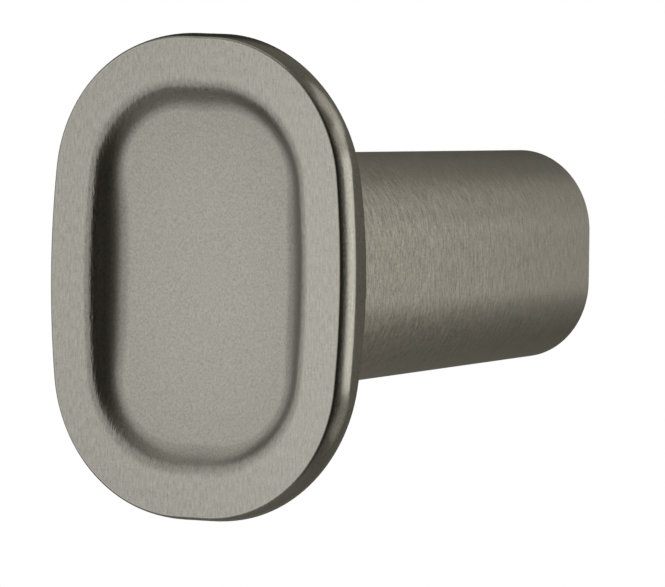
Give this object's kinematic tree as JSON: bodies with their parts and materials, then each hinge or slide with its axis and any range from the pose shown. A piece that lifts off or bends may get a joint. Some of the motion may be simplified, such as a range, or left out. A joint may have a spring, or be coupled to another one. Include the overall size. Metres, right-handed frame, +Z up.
{
  "type": "cabinet knob",
  "caption": "Upright oblong cabinet knob: a soft-cornered plate with a dished front on a tapered stem, with a tapped blind hole in the stem's foot.",
  "frame": {"origin": "centre of the stem's foot, at the mouth of its tapped hole, in the plane of the cabinet front", "axes": "+Z up along the plate's long axis, +Y into the cabinet front; the knob's face looks to -Y"},
  "size_m": [0.02, 0.037, 0.028],
  "materials": {
    "brushed_metal": "fine brushed, dark warm grey"
  },
  "bodies": {
    "root": {"knob": "brushed_metal"}
  },
  "joints": []
}
